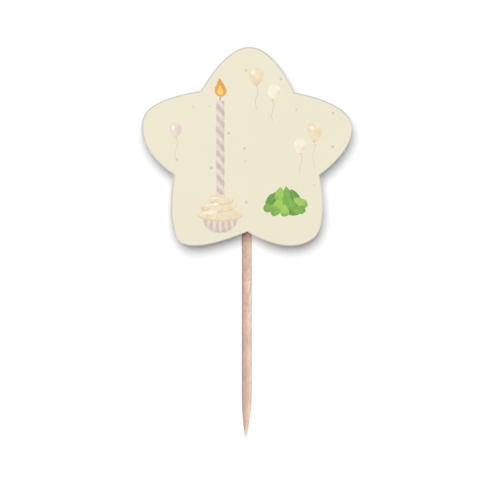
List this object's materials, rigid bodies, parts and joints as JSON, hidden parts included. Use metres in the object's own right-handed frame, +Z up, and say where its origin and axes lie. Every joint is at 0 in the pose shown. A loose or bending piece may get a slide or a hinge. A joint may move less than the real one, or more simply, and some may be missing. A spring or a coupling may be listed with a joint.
{
  "type": "flag toothpick",
  "caption": "Star-shaped printed card on a round pointed wooden pick, with a paper label tented over the pick at the back, for marking party food.",
  "frame": {"origin": "the sharp end of the pick, on its centre line", "axes": "+Z up the pick towards the card, -Y out of the card's printed face, +X to the right of someone who looks at that face"},
  "size_m": [0.0413, 0.0031, 0.0767],
  "materials": {
    "printed_card": "coated card, satin, printed on the front",
    "birch": "bare birch, sanded",
    "hot_glue": "cloudy hot-melt glue",
    "label_paper": "uncoated label paper"
  },
  "bodies": {
    "root": {"front_card": "printed_card", "toothpick": "birch", "glue_bed": "hot_glue", "back_label": "label_paper"}
  },
  "joints": []
}
